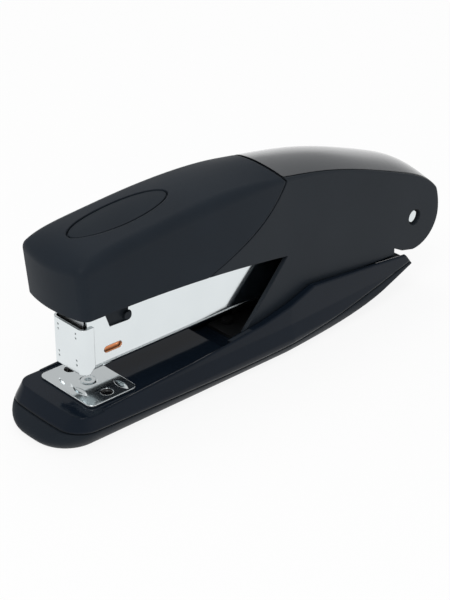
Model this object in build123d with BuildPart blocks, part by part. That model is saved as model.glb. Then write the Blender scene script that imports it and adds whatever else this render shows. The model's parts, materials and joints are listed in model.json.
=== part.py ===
"""A full-strip desk stapler with a reversible anvil, in millimetres.

The stapler stands on z = 0 with its nose towards -X, and it is symmetric about y = 0. The magazine
and the handle both turn on one pin near the rear end.
"""
import os
from math import cos, pi, sin, sqrt

from build123d import *

# Overall places along the stapler
NOSE_X = -90.5
REAR_X = 78.0
PIVOT_X, PIVOT_Z = 80.0, 30.4
PIN_D, PIN_HALF_L, PIN_CHAMFER = 5.5, 11.4, 0.5
RUN_GAP = 0.05
CLEAR = 40.0

# Base hull: the toe bulges as a parabola up to the waist, and the sides lean in above it. Each upper row
# is the height of a plan outline, its nose, its half width, its rear half width, the bow of its nose and
# the radius of its corners
TOE_HEIGHTS = [0.0, 0.6, 1.3, 2.1, 2.9, 3.7, 4.5, 5.3, 6.1, 6.8]
BULGE_Z, BULGE = 2.8, 0.25
WAIST_Z, WAIST_HALF_W, WAIST_REAR_HALF_W, WAIST_TUCK, WAIST_REAR_TUCK = 7.4, 19.2, 14.2, 0.075, 0.063
TOE_BOW, TOE_BOW_FADE, TOE_R, TOE_R_FADE = 2.0, 0.14, 14.3, 0.29
HULL_TOP_ROWS = [
    (WAIST_Z, -85.3, WAIST_HALF_W, WAIST_REAR_HALF_W, 1.0, 8.2),
    (12.0, -81.8, 17.4, 14.0, 0.5, 5.0),
    (26.0, -80.0, 16.9, 13.6, 0.5, 5.0),
]
HULL_TAPER_X = 12.0
TAIL_TOP, TAIL_LOW = (74.5, 17.1), (78.6, 12.0)
OVERRUN = 5.0
FLAT_END_X = 2.0
BOTTOM_REAR_Z = 12.4
SEAM_NOSE_Z, SEAM_DIP, SEAM_REAR = 7.4, (-22.0, 5.0), (REAR_X, 14.0)
SOLE_GROOVE_H, SOLE_GROOVE_SHRINK = 0.45, (0.985, 0.93, 1.0)
DECK_Z, DECK_T = 11.6, 2.0
DECK_REAR_X = -16.0
DECK_HALF_W = 16.5
RIM = [(-72.0, 11.9), (-33.0, 14.0), (0.0, 16.9), (12.0, 19.2), (24.0, 22.8), TAIL_TOP]
RIM_R, RIM_ROUND_FRONT, RIM_STEEPEST = 0.6, -70.0, 0.9
SOLE_WEB = 1.8
BELLY_T, BELLY_MARGIN = 1.2, 0.5
TROUGH_FRONT_HALF, TROUGH_REAR_HALF = 14.8, 12.9
PLATFORM_Z, PLATFORM_REAR_X, PLATFORM_HALF_W = 6.4, 30.5, 9.6
CAVITY_HALF_W, CAVITY_FRONT_X, CAVITY_R = 14.5, -78.0, 4.0

# Steel bracket in the base
BRACKET_T = 1.2
EAR_OUT = 9.1
EYE_R = 6.5
BRACKET_FRONT_X, BRACKET_REAR_X = -4.0, 30.0
EAR_FRONT = [(34.0, 35.0), (8.0, 12.0)]
EAR_LOW = (42.0, 9.6)
SCREW_XS, SCREW_Y = (2.0, 24.0), 5.4
SCREW_D, SCREW_HEAD_D, SCREW_HEAD_T, SCREW_L = 2.6, 4.2, 1.4, 3.1
WASHER_D, WASHER_T, WASHER_GAP = 10.0, 0.45, 0.08

# Leaf spring under the magazine
LEAF_T, LEAF_W, LEAF_GAP = 0.6, 6.0, 0.3
LEAF_ROOT_X, LEAF_BEND_X, LEAF_TIP_X = 29.8, 25.0, 3.0
LEAF_RIVET_X, LEAF_RIVET_D, LEAF_RIVET_HEAD_D, LEAF_RIVET_HEAD_T = 27.8, 2.2, 3.6, 0.8

# Reversible anvil
ANVIL_X = -65.0
ANVIL_L, ANVIL_W, ANVIL_T, ANVIL_CORNER_R = 20.0, 28.0, 1.0, 2.5
STEM_D, STEM_HEAD_D, STEM_HEAD_T, STEM_LOW = 3.2, 5.0, 0.3, 2.0
STEM_GAP, STEM_BORE_D, STEM_BORE_DEPTH = 0.2, 2.4, 1.0
ANVIL_HOLE_D, ANVIL_HOLE_Y = 4.3, 9.8
GROOVE_X, GROOVE_L, GROOVE_W, GROOVE_DEPTH = 6.4, 7.4, 1.8, 0.45
CLINCH_Y, PINNING_Y = 3.8, 9.2
BUTTON_D, BUTTON_LOW, BUTTON_TOP, BUTTON_CHAMFER = 9.0, 1.0, 4.4, 0.5
BUTTON_WELL_D = 10.4
ANVIL_SPRING_D, ANVIL_SPRING_WIRE, ANVIL_SPRING_TURNS = 6.2, 0.6, 3

# Magazine
MAG_W, SHEET, MAG_BEND_R = 15.0, 0.8, 1.4
MAG_LOW, MAG_TOP = 20.5, 41.0
MAG_FRONT, FLOOR_FRONT = -70.2, -69.4
MAG_LINE_Z, MAG_LINE_H, MAG_LINE_DEPTH = 22.2, 0.35, 0.3
MAG_EYE_R, MAG_LOW_REAR, MAG_TOP_REAR = 6.5, 70.0, 56.0
BOSS_X, BOSS_Z, BOSS_R, BOSS_HALF_L, POCKET_R = -53.7, 36.1, 1.5, 8.0, 1.9
NOTCH = [(-61.0, 34.5), (BOSS_X, 34.2), (-53.2, 38.0), (-52.6, 41.5), (-63.5, 41.5)]
WINDOW_X, WINDOW_Z, WINDOW_L, WINDOW_H = -59.9, 26.6, 7.5, 2.4
NOSE_FACE, NOSE_W, NOSE_LOW, NOSE_TOP, NOSE_BACK = -72.8, 16.5, 20.4, 37.1, -68.0
NOSE_R, NOSE_CUT = 2.5, 2.2
DIMPLE_Y, DIMPLE_ZS, DIMPLE_PITCH, DIMPLE_D, DIMPLE_DEPTH = 4.6, (24.2, 34.2), 1.7, 0.8, 0.25

# Staples and what feeds them
RAIL_HALF_W, RAIL_TOP, RAIL_T, RAIL_REAR = 5.6, 27.3, 1.0, 60.0
SLOT_HALF_W, SLOT_FRONT, SLOT_REAR = 1.1, -60.0, 50.0
STAPLE_W, STAPLE_WIRE, STAPLE_LOW = 12.7, 0.5, 21.5
STRIP_FRONT, STRIP_L = -69.3, 50.0
ROD_D, ROD_Z, ROD_FRONT = 2.2, 23.8, -66.0
STOP_L = 4.0
RAIL_RIVET_D, RAIL_RIVET_Y, RAIL_RIVET_TOP = 2.0, 3.0, 24.5
PUSHER_L, PUSHER_GAP, PUSHER_TOP = 12.0, 0.2, 31.5
PUSHER_HALF_W, PUSHER_LEG_LOW, PUSHER_FIT = 6.3, 22.0, 0.2
PUSHER_FOOT_L, PUSHER_FOOT_HALF_W, PUSHER_FOOT_H = 8.0, 3.6, 3.6
PUSHER_TAB_L, PUSHER_TAB_HALF_W, PUSHER_TAB_TOP = 2.5, 3.0, 36.0
PUSHER_SPRING_D, PUSHER_SPRING_WIRE, PUSHER_SPRING_TURNS = 4.2, 0.5, 26
BLOCK_FRONT, BLOCK_REAR, BLOCK_LOW, BLOCK_TOP = -67.4, -50.0, 28.6, 40.0
SEAT_X, SEAT_Z, SEAT_D = -58.5, 32.5, 9.4
HANDLE_SPRING_D, HANDLE_SPRING_WIRE, HANDLE_SPRING_TURNS = 8.0, 0.9, 7

# Handle frame and driver
FRAME_IN, FRAME_T = 9.7, 0.9
FRAME_TOP, ROOF_T = 52.0, 1.2
FRAME_FRONT, FRAME_BEND_X, FRAME_REAR, FRAME_REAR_Z = -70.9, 38.0, 84.0, 41.5
FRAME_EYE_R = 6.5
FRAME_LOW = [(62.0, 33.5), (20.0, 43.5), (FRAME_FRONT, 46.5)]
BLADE_T, BLADE_HALF_W, BLADE_LOW, BLADE_TAB_REAR = 0.7, 6.2, 28.7, -63.4
BLADE_RIVET_X, BLADE_RIVET_Y, BLADE_RIVET_D = -66.2, 3.6, 2.4
BLADE_RIVET_HEAD_D, BLADE_RIVET_HEAD_T = 4.0, 0.8

# Handle covers: each row is a cross-section: x, crease half width, crease height, crown height,
# low half width, crease radius
COVER_ROWS = [
    (-81.4, 15.5, 58.6, 59.6, 14.0, 1.2),
    (-78.0, 15.9, 62.2, 63.8, 14.3, 3.2),
    (-72.0, 16.1, 64.9, 66.7, 14.5, 4.5),
    (-52.0, 16.1, 67.4, 69.1, 14.6, 4.5),
    (-28.0, 15.8, 69.1, 70.9, 14.4, 4.5),
    (-4.0, 14.9, 68.6, 71.0, 14.0, 3.5),
    (14.0, 13.5, 66.2, 70.3, 13.6, 1.8),
    (32.0, 12.9, 63.1, 67.5, 13.2, 1.2),
    (52.0, 12.6, 57.5, 62.0, 12.8, 1.2),
    (72.0, 12.5, 50.3, 54.8, 12.6, 1.2),
    (85.0, 12.4, 44.6, 47.7, 12.5, 1.0),
    (90.0, 12.4, 41.0, 42.9, 12.5, 0.8),
    (94.0, 12.3, 35.5, 36.3, 12.4, 0.5),
]
COVER_LOW_Z, COVER_HIGH_Z = 10.0, 80.0
COVER_WALL, COVER_ROOF = 1.6, 2.2
HOLLOW_REAR_X = 91.0
NOSE_FRONT_X, NOSE_BOW, NOSE_HALF_W, NOSE_CORNER_R = -82.4, 3.0, 16.5, 5.0
NOSE_LEAN, NOSE_ZONE_REAR, BROW_R = 0.1, -60.0, 3.0
LOW_FRONT, LOW_MID, LOW_REAR = (-85.0, 44.3), (-30.0, 42.9), (13.3, 37.2)
FIN_TIP = (-8.0, 14.7)
FIN_LOW = [(9.0, 15.1), (19.5, 16.9), (30.0, 20.3), (69.6, 18.3), (69.6, 20.9)]
CHEEK_R = 13.2
REAR_CORNER = (85.0, 48.5)
HEEL = (74.0, 18.6)
BACK_OPEN_Z = 29.4
GRIP_SEAM = [(-34.0, 38.7), (-20.5, 43.7), (-3.2, 51.3), (5.6, 57.6), (12.3, 65.8)]
GRIP_SEAM_TOP, GRIP_SEAM_GAP = (4.0, 76.0), 0.8
PIN_HOLE_D = 6.2
RIBS = [(-58.0, 66.8), (-30.0, 69.1), (-4.0, 69.4)]
RIB_T, RIB_HALF_W = 2.0, 9.0
COVER_BOSSES = [(-30.0, 69.2), (30.0, 66.8)]
COVER_BOSS_D, COVER_SCREW_TOP = 6.0, 59.0
BADGE_X, BADGE_L, BADGE_W, BADGE_DEPTH, BADGE_GAP, BADGE_SINK = -50.3, 40.4, 15.0, 1.2, 0.7, 0.2
PANEL_FRONT, PANEL_FRONT_HALF, PANEL_REAR, PANEL_REAR_HALF = 0.0, 12.8, 89.0, 11.8
PANEL_DEPTH, PANEL_GAP, PANEL_LOW_Z = 1.1, 0.45, 40.0

# Places worked out from the dimensions above
STANDING = (Align.CENTER, Align.CENTER, Align.MIN)
ABOVE = (Align.CENTER, Align.MIN)
BELOW = (Align.CENTER, Align.MAX)
BELLY_FRONT_X = DECK_REAR_X - 3
TROUGH_RISE = SOLE_WEB + BELLY_T
BRACKET_TOP = PLATFORM_Z + BRACKET_T
SCREW_PLACES = [(x, y) for x in SCREW_XS for y in (-SCREW_Y, SCREW_Y)]
ANVIL_TOP = DECK_Z + ANVIL_T
MAG_HALF = MAG_W / 2
MAG_IN = MAG_HALF - SHEET
FLOOR_TOP = MAG_LOW + SHEET
ROD_REAR = RAIL_REAR
STOP_SPANS = [(ROD_FRONT, ROD_FRONT + STOP_L), (RAIL_REAR - STOP_L, RAIL_REAR)]
STOP_HALF_W, STOP_TOP = RAIL_HALF_W - RAIL_T, RAIL_TOP - RAIL_T
RAIL_RIVETS = [((low + high) / 2, y) for low, high in STOP_SPANS for y in (-RAIL_RIVET_Y, RAIL_RIVET_Y)]
PUSHER_FRONT = STRIP_FRONT + STRIP_L + PUSHER_GAP
FOOT_REAR = PUSHER_FRONT + PUSHER_FOOT_L
ROOF_LOW = FRAME_TOP - ROOF_T
FRAME_OUT = FRAME_IN + FRAME_T
FRAME_ROOF = [(FRAME_FRONT, FRAME_TOP), (FRAME_BEND_X, FRAME_TOP), (FRAME_REAR, FRAME_REAR_Z)]
BLADE_RIVETS = [(BLADE_RIVET_X, -BLADE_RIVET_Y), (BLADE_RIVET_X, BLADE_RIVET_Y)]
COVER_SCREWS = [(x, 0) for x, top in COVER_BOSSES]


def toe_row(height):
    """One plan outline of the sole, which is furthest out at the bulge and tucks in under the waist."""
    above, tuck = height - BULGE_Z, (WAIST_Z - height) ** 2
    return (
        height,
        NOSE_X + BULGE * above * above,
        WAIST_HALF_W - WAIST_TUCK * tuck,
        WAIST_REAR_HALF_W - WAIST_REAR_TUCK * tuck,
        TOE_BOW - TOE_BOW_FADE * height,
        TOE_R - TOE_R_FADE * above * above,
    )


def hull_form():
    """The hull's outside, straight between plan outlines stacked up the hull."""
    with BuildPart() as form:
        rows = [toe_row(height) for height in TOE_HEIGHTS] + HULL_TOP_ROWS
        for height, nose, half_width, rear_half_width, bow, corner_r in rows:
            with BuildSketch(Plane.XY.offset(height)) as outline:
                shoulder = nose + bow
                with BuildLine():
                    ThreePointArc((shoulder, half_width), (nose, 0), (shoulder, -half_width))
                    Polyline(
                        (shoulder, -half_width),
                        (HULL_TAPER_X, -half_width),
                        (REAR_X, -rear_half_width),
                        (REAR_X, rear_half_width),
                        (HULL_TAPER_X, half_width),
                        (shoulder, half_width),
                    )
                make_face()
                fillet(outline.vertices().group_by(Axis.X)[0], radius=corner_r)
        loft(ruled=True)
        with BuildSketch(Plane.XZ):
            with BuildLine():
                Polyline(TAIL_LOW, TAIL_TOP, (TAIL_TOP[0], CLEAR), (TAIL_LOW[0], CLEAR), close=True)
            make_face()
        extrude(amount=CLEAR, both=True, mode=Mode.SUBTRACT)
    return form.part


def above_bottom(rise, front):
    """A block above the base's bottom line, which is flat in front and curls up at the rear."""
    end_z = BOTTOM_REAR_Z + rise
    with BuildPart() as block:
        with BuildSketch(Plane.XZ):
            with BuildLine():
                Line((front, rise), (FLAT_END_X, rise))
                TangentArc((FLAT_END_X, rise), (REAR_X, end_z), tangent=(1, 0))
                Polyline(
                    (REAR_X, end_z),
                    (REAR_X + OVERRUN, end_z),
                    (REAR_X + OVERRUN, CLEAR),
                    (front, CLEAR),
                    (front, rise),
                )
            make_face()
        extrude(amount=CLEAR, both=True)
    return block.part


def above_seam():
    """A block above the line where the sole meets the shell."""
    front = NOSE_X - OVERRUN
    with BuildPart() as block:
        with BuildSketch(Plane.XZ):
            with BuildLine():
                Line((front, SEAM_NOSE_Z), SEAM_DIP)
                run = (SEAM_DIP[0] - front, SEAM_DIP[1] - SEAM_NOSE_Z)
                TangentArc(SEAM_DIP, SEAM_REAR, tangent=run)
                Polyline(SEAM_REAR, (SEAM_REAR[0], CLEAR), (front, CLEAR), (front, SEAM_NOSE_Z))
            make_face()
        extrude(amount=CLEAR, both=True)
    return block.part


def rear_plan(margin):
    """An upright column over the space between the wings, wider by a margin on each side."""
    front_half, rear_half = TROUGH_FRONT_HALF + margin, TROUGH_REAR_HALF + margin
    with BuildPart() as column:
        with BuildSketch(Plane.XY):
            with BuildLine():
                Polyline(
                    (BELLY_FRONT_X, -front_half),
                    (REAR_X + OVERRUN, -rear_half),
                    (REAR_X + OVERRUN, rear_half),
                    (BELLY_FRONT_X, front_half),
                    close=True,
                )
            make_face()
        extrude(amount=CLEAR)
    return column.part


def wind_spring(outer_d, wire_d, length, turns):
    """A coil about +Z from z = 0, with each half turn a pair of tangent arcs, and its least gap."""
    radius = (outer_d - wire_d) / 2
    slope = (length - 2 * wire_d) / turns / (2 * pi * radius)

    def place(half_turns):
        angle = pi * half_turns
        return Vector(radius * cos(angle), radius * sin(angle), wire_d + slope * radius * angle)

    def heading(half_turns):
        angle = pi * half_turns
        return Vector(-sin(angle), cos(angle), slope).normalized()

    with BuildPart() as spring:
        with BuildLine():
            lead = Line(place(0) - heading(0) * wire_d, place(0))
            for step in range(2 * turns):
                start, end = place(step), place(step + 1)
                leave, arrive = heading(step), heading(step + 1)
                chord, both = end - start, leave + arrive
                a = both.dot(both) - 4
                b = -2 * chord.dot(both)
                reach = (-b - sqrt(b * b - 4 * a * chord.dot(chord))) / (2 * a)
                corner, far_corner = start + leave * reach, end - arrive * reach
                middle = (corner + far_corner) * 0.5
                TangentArc(start, middle, tangent=leave)
                TangentArc(middle, end, tangent=far_corner - corner)
            Line(place(2 * turns), place(2 * turns) + heading(2 * turns) * wire_d)
        with BuildSketch(Plane(origin=lead @ 0, z_dir=lead % 0)):
            Circle(wire_d / 2)
        sweep()
    points = [place(step / 12) for step in range(24 * turns)]
    gap = min((points[i] - points[j]).length for i in range(len(points)) for j in range(i + 12, len(points)))
    return spring.part, gap - wire_d


def cover_form(wall, roof):
    """The handle's outside, or its hollow when walls are taken off, lofted through cross-sections."""
    with BuildPart() as form:
        for x, half_width, crease_z, crown_z, low_half_width, crease_r in COVER_ROWS:
            with BuildSketch(Plane.YZ.offset(x)) as section:
                half, low_half = half_width - wall, low_half_width - wall
                with BuildLine():
                    ThreePointArc((-half, crease_z - roof), (0, crown_z - roof), (half, crease_z - roof))
                    Polyline(
                        (half, crease_z - roof),
                        (low_half, COVER_LOW_Z),
                        (-low_half, COVER_LOW_Z),
                        (-half, crease_z - roof),
                    )
                make_face()
                fillet(section.vertices().group_by(Axis.Y)[-1], radius=crease_r)
        loft()
    return form.part


def nose_zone(setback):
    """Everything ahead of the handle's rounded front, for trimming."""
    front = NOSE_FRONT_X + setback
    half = NOSE_HALF_W - setback
    rear = NOSE_ZONE_REAR + OVERRUN
    with BuildPart() as zone:
        with BuildSketch(Plane.XY.offset(COVER_LOW_Z)):
            with Locations((NOSE_ZONE_REAR - CLEAR, 0)):
                Rectangle(2 * CLEAR, 2 * CLEAR)
        extrude(amount=COVER_HIGH_Z - COVER_LOW_Z)
        with BuildSketch(Plane.XY.offset(COVER_HIGH_Z)) as outline:
            with BuildLine():
                ThreePointArc((front + NOSE_BOW, half), (front, 0), (front + NOSE_BOW, -half))
                Polyline((front + NOSE_BOW, -half), (rear, -half), (rear, half), (front + NOSE_BOW, half))
            make_face()
            fillet(outline.vertices().group_by(Axis.X)[0], radius=NOSE_CORNER_R)
        extrude(amount=COVER_HIGH_Z - COVER_LOW_Z, dir=(NOSE_LEAN, 0, -1), mode=Mode.SUBTRACT)
    return zone.part


def cover_body():
    """The covers before their low edge is trimmed, with a rounded brow where the top meets the nose."""
    with BuildPart() as body:
        add(cover_form(0, 0))
        add(nose_zone(0), mode=Mode.SUBTRACT)
        ahead = body.edges().filter_by_position(Axis.X, NOSE_X, MAG_FRONT)
        fillet(ahead.filter_by_position(Axis.Z, FRAME_TOP, COVER_HIGH_Z), radius=BROW_R)
    return body.part


def handle_side():
    """The handle's side view, from the low edge and the fins up past the crown."""
    rear_x = PIVOT_X + CHEEK_R
    with BuildPart() as block:
        with BuildSketch(Plane.XZ):
            with BuildLine():
                ThreePointArc(LOW_FRONT, LOW_MID, LOW_REAR)
                Polyline(LOW_REAR, FIN_TIP, *FIN_LOW, HEEL, (PIVOT_X, PIVOT_Z - CHEEK_R))
                ThreePointArc(
                    (PIVOT_X, PIVOT_Z - CHEEK_R),
                    (PIVOT_X + CHEEK_R * cos(pi / 4), PIVOT_Z - CHEEK_R * sin(pi / 4)),
                    (rear_x, PIVOT_Z),
                )
                TangentArc((rear_x, PIVOT_Z), REAR_CORNER, tangent=(0, 1))
                Polyline(
                    REAR_CORNER,
                    (REAR_CORNER[0], COVER_HIGH_Z),
                    (LOW_FRONT[0], COVER_HIGH_Z),
                    LOW_FRONT,
                )
            make_face()
        extrude(amount=CLEAR, both=True)
    return block.part


def behind_seam():
    """Everything behind the joint between the front grip and the rear cover."""
    rear_x = PIVOT_X + CLEAR
    with BuildPart() as block:
        with BuildSketch(Plane.XZ):
            with BuildLine():
                Spline(*GRIP_SEAM)
                Polyline(
                    GRIP_SEAM[-1],
                    GRIP_SEAM_TOP,
                    (rear_x, GRIP_SEAM_TOP[1]),
                    (rear_x, 0),
                    (GRIP_SEAM[0][0], 0),
                    GRIP_SEAM[0],
                )
            make_face()
        extrude(amount=CLEAR, both=True)
    return block.part


def badge_column(gap):
    """An upright oval column over the badge."""
    with BuildPart() as column:
        with BuildSketch(Plane.XY.offset(FRAME_TOP)):
            with Locations((BADGE_X, 0)):
                Ellipse(BADGE_L / 2 - gap, BADGE_W / 2 - gap)
        extrude(amount=CLEAR)
    return column.part


def panel_column(gap):
    """An upright column over the rear top panel."""
    front_half, rear_half, rear_x = PANEL_FRONT_HALF - gap, PANEL_REAR_HALF - gap, PANEL_REAR - gap
    with BuildPart() as column:
        with BuildSketch(Plane.XY.offset(PANEL_LOW_Z)):
            with BuildLine():
                Polyline(
                    (PANEL_FRONT, -front_half),
                    (rear_x, -rear_half),
                    (rear_x, rear_half),
                    (PANEL_FRONT, front_half),
                    close=True,
                )
            make_face()
        extrude(amount=CLEAR)
    return column.part


def lowered(form, depth):
    """A copy of a form, moved down."""
    return form.moved(Location((0, 0, -depth)))


os.makedirs("parts", exist_ok=True)
hull = hull_form()
shell_side = above_seam()
cover_outside = handle_side() & cover_body()
whole_hollow = cover_form(COVER_WALL, COVER_ROOF) - nose_zone(COVER_ROOF)
cover_hollow = split(whole_hollow, Plane.YZ.offset(HOLLOW_REAR_X), keep=Keep.BOTTOM)
rear_side = behind_seam()
badge_recess = badge_column(0) - lowered(cover_outside, BADGE_DEPTH)
panel_recess = panel_column(0) - lowered(cover_outside, PANEL_DEPTH)

# Base

with BuildPart() as belly:
    add(above_bottom(SOLE_WEB, BELLY_FRONT_X))
    add(hull, mode=Mode.INTERSECT)
    add(rear_plan(BELLY_MARGIN), mode=Mode.INTERSECT)
    add(shell_side, mode=Mode.SUBTRACT)

with BuildPart() as trough:
    add(above_bottom(TROUGH_RISE, DECK_REAR_X))
    add(rear_plan(0), mode=Mode.INTERSECT)

with BuildPart() as platform:
    with BuildSketch(Plane.XY):
        with Locations(((DECK_REAR_X + PLATFORM_REAR_X) / 2, 0)):
            Rectangle(PLATFORM_REAR_X - DECK_REAR_X, 2 * PLATFORM_HALF_W)
    extrude(amount=PLATFORM_Z)
    add(above_bottom(SOLE_WEB, BELLY_FRONT_X), mode=Mode.INTERSECT)

with BuildPart() as base_shell:
    with BuildSketch(Plane.XZ):
        with BuildLine():
            Polyline(
                (NOSE_X - OVERRUN, 0),
                (NOSE_X - OVERRUN, DECK_Z),
                (RIM[0][0], DECK_Z),
                *RIM,
                (REAR_X + OVERRUN, TAIL_TOP[1]),
                (REAR_X + OVERRUN, 0),
                close=True,
            )
        make_face()
    extrude(amount=CLEAR, both=True)
    add(hull, mode=Mode.INTERSECT)
    add(shell_side, mode=Mode.INTERSECT)
    rim_tops = base_shell.faces().filter_by(lambda face: face.normal_at().Z > RIM_STEEPEST)
    rim_edges = rim_tops.edges().filter_by_position(Axis.X, RIM_ROUND_FRONT, REAR_X)
    fillet(rim_edges.filter_by(lambda edge: abs(edge.center().Y) > DECK_HALF_W / 2), radius=RIM_R)
    with BuildSketch(Plane.XY.offset(DECK_Z)):
        with Locations(((NOSE_X + DECK_REAR_X) / 2, 0)):
            Rectangle(DECK_REAR_X - NOSE_X, 2 * DECK_HALF_W)
    extrude(amount=CLEAR, mode=Mode.SUBTRACT)
    with BuildSketch(Plane.XY):
        with Locations(((CAVITY_FRONT_X + BELLY_FRONT_X) / 2, 0)):
            RectangleRounded(BELLY_FRONT_X - CAVITY_FRONT_X, 2 * CAVITY_HALF_W, CAVITY_R)
    extrude(amount=DECK_Z - DECK_T, mode=Mode.SUBTRACT)
    with Locations((ANVIL_X, 0, DECK_Z)):
        Hole(STEM_D / 2 + STEM_GAP)
    add(belly.part)
    add(trough.part, mode=Mode.SUBTRACT)
    add(platform.part)
    with BuildSketch(Plane.XY.offset(PLATFORM_Z)):
        with Locations(*SCREW_PLACES):
            Circle(SCREW_D / 2)
    extrude(amount=BRACKET_T - SCREW_L, mode=Mode.SUBTRACT)
base_shell.part.label = "base_shell"
export_step(base_shell.part, "parts/base_shell.step")

with BuildPart() as sole_groove:
    add(hull)
    add(scale(hull, by=SOLE_GROOVE_SHRINK, mode=Mode.PRIVATE), mode=Mode.SUBTRACT)
    add(lowered(shell_side, SOLE_GROOVE_H), mode=Mode.INTERSECT)

with BuildPart() as rubber_sole:
    add(hull)
    add(above_bottom(0, NOSE_X - OVERRUN), mode=Mode.INTERSECT)
    add(shell_side, mode=Mode.SUBTRACT)
    add(sole_groove.part, mode=Mode.SUBTRACT)
    add(belly.part, mode=Mode.SUBTRACT)
    with Locations((ANVIL_X, 0, 0)):
        Hole(BUTTON_WELL_D / 2)
rubber_sole.part.label = "rubber_sole"
export_step(rubber_sole.part, "parts/rubber_sole.step")

with BuildPart() as base_bracket:
    with BuildSketch(Plane.XZ):
        with BuildLine():
            Polyline(
                (PIVOT_X, PIVOT_Z + EYE_R),
                *EAR_FRONT,
                (EAR_FRONT[-1][0], PLATFORM_Z),
                (BRACKET_REAR_X, PLATFORM_Z),
                EAR_LOW,
                (PIVOT_X - EYE_R * cos(pi / 4), PIVOT_Z - EYE_R * sin(pi / 4)),
                (PIVOT_X, PIVOT_Z),
                close=True,
            )
        make_face()
        with Locations((PIVOT_X, PIVOT_Z)):
            Circle(EYE_R)
            Circle(PIN_D / 2, mode=Mode.SUBTRACT)
    extrude(amount=EAR_OUT, both=True)
    with BuildSketch(Plane.XZ):
        with Locations((PIVOT_X / 2, BRACKET_TOP)):
            Rectangle(2 * PIVOT_X, CLEAR, align=ABOVE)
    extrude(amount=EAR_OUT - BRACKET_T, both=True, mode=Mode.SUBTRACT)
    with BuildSketch(Plane.XY.offset(PLATFORM_Z)):
        with Locations(((BRACKET_FRONT_X + BRACKET_REAR_X) / 2, 0)):
            Rectangle(BRACKET_REAR_X - BRACKET_FRONT_X, 2 * EAR_OUT)
    extrude(amount=BRACKET_T)
    with BuildSketch(Plane.XY.offset(PLATFORM_Z)):
        with Locations(*SCREW_PLACES):
            Circle(SCREW_D / 2)
        with Locations((LEAF_RIVET_X, 0)):
            Circle(LEAF_RIVET_D / 2)
    extrude(amount=BRACKET_T, mode=Mode.SUBTRACT)
base_bracket.part.label = "base_bracket"
export_step(base_bracket.part, "parts/base_bracket.step")

with BuildPart() as bracket_screws:
    with BuildSketch(Plane.XY.offset(BRACKET_TOP)):
        with Locations(*SCREW_PLACES):
            Circle(SCREW_HEAD_D / 2)
    extrude(amount=SCREW_HEAD_T)
    with BuildSketch(Plane.XY.offset(BRACKET_TOP)):
        with Locations(*SCREW_PLACES):
            Circle(SCREW_D / 2 - RUN_GAP)
    extrude(amount=-SCREW_L)
bracket_screws.part.label = "bracket_screws"
export_step(bracket_screws.part, "parts/bracket_screws.step")

with BuildPart() as pivot_pin:
    with BuildSketch(Plane.XZ):
        with Locations((PIVOT_X, PIVOT_Z)):
            Circle(PIN_D / 2)
    extrude(amount=PIN_HALF_L, both=True)
    chamfer(pivot_pin.edges().filter_by(GeomType.CIRCLE), PIN_CHAMFER)
pivot_pin.part.label = "pivot_pin"
export_step(pivot_pin.part, "parts/pivot_pin.step")

with BuildPart() as pivot_washers:
    with BuildSketch(Plane.XZ.offset(EAR_OUT + WASHER_GAP)):
        with Locations((PIVOT_X, PIVOT_Z)):
            Circle(WASHER_D / 2)
            Circle(PIN_D / 2 + RUN_GAP, mode=Mode.SUBTRACT)
    extrude(amount=WASHER_T)
    mirror(about=Plane.XZ)
pivot_washers.part.label = "pivot_washers"
export_step(pivot_washers.part, "parts/pivot_washers.step")

with BuildPart() as lift_spring:
    root_z, tip_z = BRACKET_TOP + LEAF_T / 2, MAG_LOW - LEAF_GAP - LEAF_T / 2
    waist = ((LEAF_BEND_X + LEAF_TIP_X) / 2, (root_z + tip_z) / 2)
    with BuildSketch(Plane.XZ):
        with BuildLine():
            Line((LEAF_ROOT_X, root_z), (LEAF_BEND_X, root_z))
            rising = TangentArc((LEAF_BEND_X, root_z), waist, tangent=(-1, 0))
            TangentArc(waist, (LEAF_TIP_X, tip_z), tangent=rising % 1)
        trace(line_width=LEAF_T)
    extrude(amount=LEAF_W / 2, both=True)
    with Locations((LEAF_RIVET_X, 0, BRACKET_TOP)):
        Cylinder(LEAF_RIVET_D / 2, LEAF_T, align=STANDING, mode=Mode.SUBTRACT)
lift_spring.part.label = "lift_spring"
export_step(lift_spring.part, "parts/lift_spring.step")

with BuildPart() as spring_rivet:
    with Locations((LEAF_RIVET_X, 0, PLATFORM_Z)):
        Cylinder(LEAF_RIVET_D / 2 - RUN_GAP, BRACKET_T + LEAF_T, align=STANDING)
    with Locations((LEAF_RIVET_X, 0, BRACKET_TOP + LEAF_T)):
        Cylinder(LEAF_RIVET_HEAD_D / 2, LEAF_RIVET_HEAD_T, align=STANDING)
spring_rivet.part.label = "spring_rivet"
export_step(spring_rivet.part, "parts/spring_rivet.step")

# Anvil

with BuildPart() as anvil_plate:
    with BuildSketch(Plane.XY.offset(DECK_Z)):
        with Locations((ANVIL_X, 0)):
            RectangleRounded(ANVIL_L, ANVIL_W, ANVIL_CORNER_R)
            Circle(STEM_D / 2 + RUN_GAP, mode=Mode.SUBTRACT)
        with Locations((ANVIL_X, -ANVIL_HOLE_Y), (ANVIL_X, ANVIL_HOLE_Y)):
            Circle(ANVIL_HOLE_D / 2, mode=Mode.SUBTRACT)
    extrude(amount=ANVIL_T)
    with BuildSketch(Plane.XY.offset(ANVIL_TOP)):
        for x, y in ((ANVIL_X - GROOVE_X, CLINCH_Y), (ANVIL_X + GROOVE_X, PINNING_Y)):
            with Locations((x, -y), (x, y)):
                SlotOverall(GROOVE_L, GROOVE_W, rotation=90)
    extrude(amount=-GROOVE_DEPTH, mode=Mode.SUBTRACT)
anvil_plate.part.label = "anvil_plate"
export_step(anvil_plate.part, "parts/anvil_plate.step")

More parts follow.
